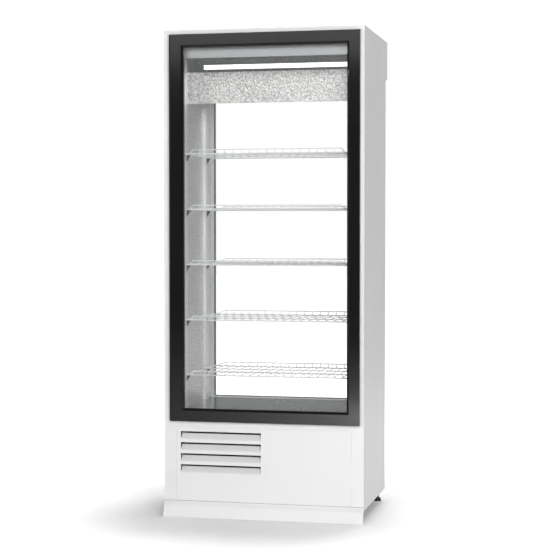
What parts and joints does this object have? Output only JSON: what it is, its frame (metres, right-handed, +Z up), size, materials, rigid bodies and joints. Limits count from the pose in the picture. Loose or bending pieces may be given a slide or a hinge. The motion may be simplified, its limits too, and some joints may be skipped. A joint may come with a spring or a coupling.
{
  "type": "double-sided display fridge",
  "caption": "Tall white display fridge with a framed glass door at the front and another at the rear, wire shelves, lit header and louvred machine space.",
  "frame": {"origin": "centre of the footprint, on the floor", "axes": "+Z up, +X along the width to the right seen from the front, front faces -Y"},
  "size_m": [0.825, 0.628, 1.977],
  "materials": {
    "white_sheet": "satin white powder coat",
    "zinc": "zinc plated",
    "black_plastic": "matte",
    "zinc_sheet": "galvanised",
    "foot_black": "matte",
    "white_plastic": "satin",
    "foam": "rigid foam",
    "stucco_aluminium": "stucco embossed",
    "polished_steel": "polished",
    "upright_steel": "satin",
    "shelf_wire": "white coated wire",
    "brushed_fascia": "brushed",
    "lamp_housing_dark": "matte",
    "lamp_white": "diffusing",
    "coil_aluminium": "mill",
    "motor_metal": "satin",
    "guard_wire": "plated",
    "coil_dark": "matte",
    "compressor_black": "satin",
    "rubber": "matte",
    "copper": "drawn copper",
    "switch_green": "gloss",
    "door_black": "satin",
    "grip_dark": "anodised",
    "sash_grey": "satin",
    "door_glass": "clear",
    "spacer_black": "matte",
    "gasket_rubber": "matte"
  },
  "bodies": {
    "cabinet": {"side_casing_left": "white_sheet", "side_casing_right": "white_sheet", "front_rails": "white_sheet", "rear_rails": "white_sheet", "top_cover": "white_sheet", "lower_front_panel": "white_sheet", "plinth": "white_sheet", "rear_canopy": "white_sheet", "rear_lower_panel": "white_sheet", "rear_panel_screws": "zinc", "cable_gland": "black_plastic", "base_pan": "zinc_sheet", "floor_deck": "zinc_sheet", "breaker_frames": "white_plastic", "insulation": "foam", "liner_walls": "stucco_aluminium", "liner_floor": "polished_steel", "shelf_uprights": "upright_steel", "shelf_clips": "black_plastic", "shelf_1": "shelf_wire", "shelf_2": "shelf_wire", "shelf_3": "shelf_wire", "shelf_4": "shelf_wire", "shelf_5": "shelf_wire", "fascia": "brushed_fascia", "lamp_housing": "lamp_housing_dark", "lamp_diffuser": "lamp_white", "evaporator_housing": "stucco_aluminium", "evaporator_coil": "coil_aluminium", "evaporator_fan_motors": "motor_metal", "evaporator_fan_guards": "guard_wire", "condenser_coil": "coil_dark", "condenser_shroud": "zinc_sheet", "condenser_fan_motor": "motor_metal", "compressor": "compressor_black", "compressor_mounts": "rubber", "refrigerant_pipes": "copper", "evaporation_tray": "black_plastic", "controls": "black_plastic", "door_hinges": "white_sheet"},
    "front_door": {"front_door_frame": "door_black", "front_door_grip": "grip_dark", "front_door_sash": "sash_grey", "front_door_glass": "door_glass", "front_door_spacer": "spacer_black", "front_door_gasket": "gasket_rubber"},
    "rear_door": {"rear_door_frame": "door_black", "rear_door_grip": "grip_dark", "rear_door_sash": "sash_grey", "rear_door_glass": "door_glass", "rear_door_spacer": "spacer_black", "rear_door_gasket": "gasket_rubber"},
    "evaporator_fan_left": {"evaporator_fan_left": "black_plastic"},
    "evaporator_fan_right": {"evaporator_fan_right": "black_plastic"},
    "condenser_fan": {"condenser_fan": "black_plastic"},
    "power_switch": {"power_switch": "switch_green"},
    "foot_front_left": {"foot_front_left": "foot_black"},
    "foot_front_right": {"foot_front_right": "foot_black"},
    "foot_rear_left": {"foot_rear_left": "foot_black"},
    "foot_rear_right": {"foot_rear_right": "foot_black"}
  },
  "joints": [
    {"name": "front_door_swing", "type": "hinge", "parent": "cabinet", "child": "front_door", "pos_m": [0.392, -0.302, 1.175], "axis": [0, 0, 1], "range_deg": [0, 110]},
    {"name": "rear_door_swing", "type": "hinge", "parent": "cabinet", "child": "rear_door", "pos_m": [-0.392, 0.278, 1.096], "axis": [0, 0, 1], "range_deg": [0, 110]},
    {"name": "evaporator_fan_left_spin", "type": "hinge", "parent": "cabinet", "child": "evaporator_fan_left", "pos_m": [-0.17, 0.139, 1.812], "axis": [0, 1, 0], "continuous": true},
    {"name": "evaporator_fan_right_spin", "type": "hinge", "parent": "cabinet", "child": "evaporator_fan_right", "pos_m": [0.17, 0.139, 1.812], "axis": [0, 1, 0], "continuous": true},
    {"name": "condenser_fan_spin", "type": "hinge", "parent": "cabinet", "child": "condenser_fan", "pos_m": [-0.175, -0.166, 0.215], "axis": [0, 1, 0], "continuous": true},
    {"name": "power_switch_rock", "type": "hinge", "parent": "cabinet", "child": "power_switch", "pos_m": [0.11, 0.3065, 1.9], "axis": [1, 0, 0], "range_deg": [-14, 0]},
    {"name": "foot_front_left_turn", "type": "hinge", "parent": "cabinet", "child": "foot_front_left", "pos_m": [-0.385, -0.245, 0.03], "axis": [0, 0, 1], "continuous": true},
    {"name": "foot_front_right_turn", "type": "hinge", "parent": "cabinet", "child": "foot_front_right", "pos_m": [0.385, -0.245, 0.03], "axis": [0, 0, 1], "continuous": true},
    {"name": "foot_rear_left_turn", "type": "hinge", "parent": "cabinet", "child": "foot_rear_left", "pos_m": [-0.385, 0.239, 0.03], "axis": [0, 0, 1], "continuous": true},
    {"name": "foot_rear_right_turn", "type": "hinge", "parent": "cabinet", "child": "foot_rear_right", "pos_m": [0.385, 0.239, 0.03], "axis": [0, 0, 1], "continuous": true}
  ]
}
